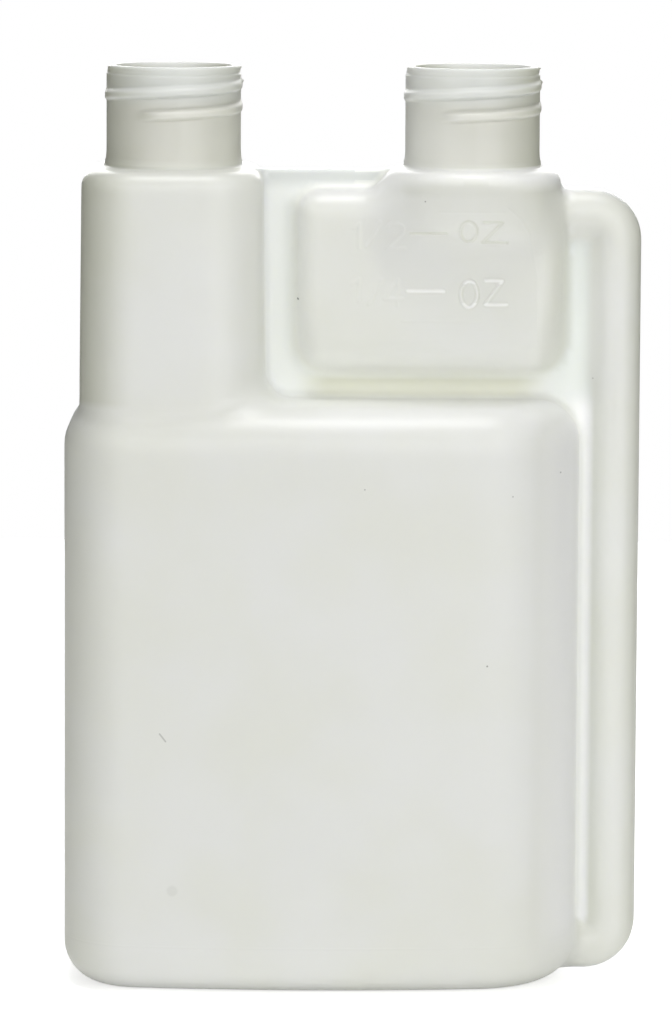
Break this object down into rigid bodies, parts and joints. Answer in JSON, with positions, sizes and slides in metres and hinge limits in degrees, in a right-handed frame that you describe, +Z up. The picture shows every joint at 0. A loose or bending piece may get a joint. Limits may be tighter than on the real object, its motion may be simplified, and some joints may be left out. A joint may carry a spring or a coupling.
{
  "type": "dosing bottle",
  "caption": "Flat squeeze-to-dose bottle: a reservoir feeds a side tube into a small graduated chamber, each with its own open threaded neck.",
  "frame": {"origin": "on the base plane, at the middle of the overall outline in plan", "axes": "+Z up through the necks; +X from the filling neck towards the side tube; -Y is the front face"},
  "size_m": [0.1086, 0.05, 0.1735],
  "materials": {
    "natural_polyethylene": "natural, milky translucent, satin from the mould"
  },
  "bodies": {
    "root": {"bottle": "natural_polyethylene"}
  },
  "joints": []
}
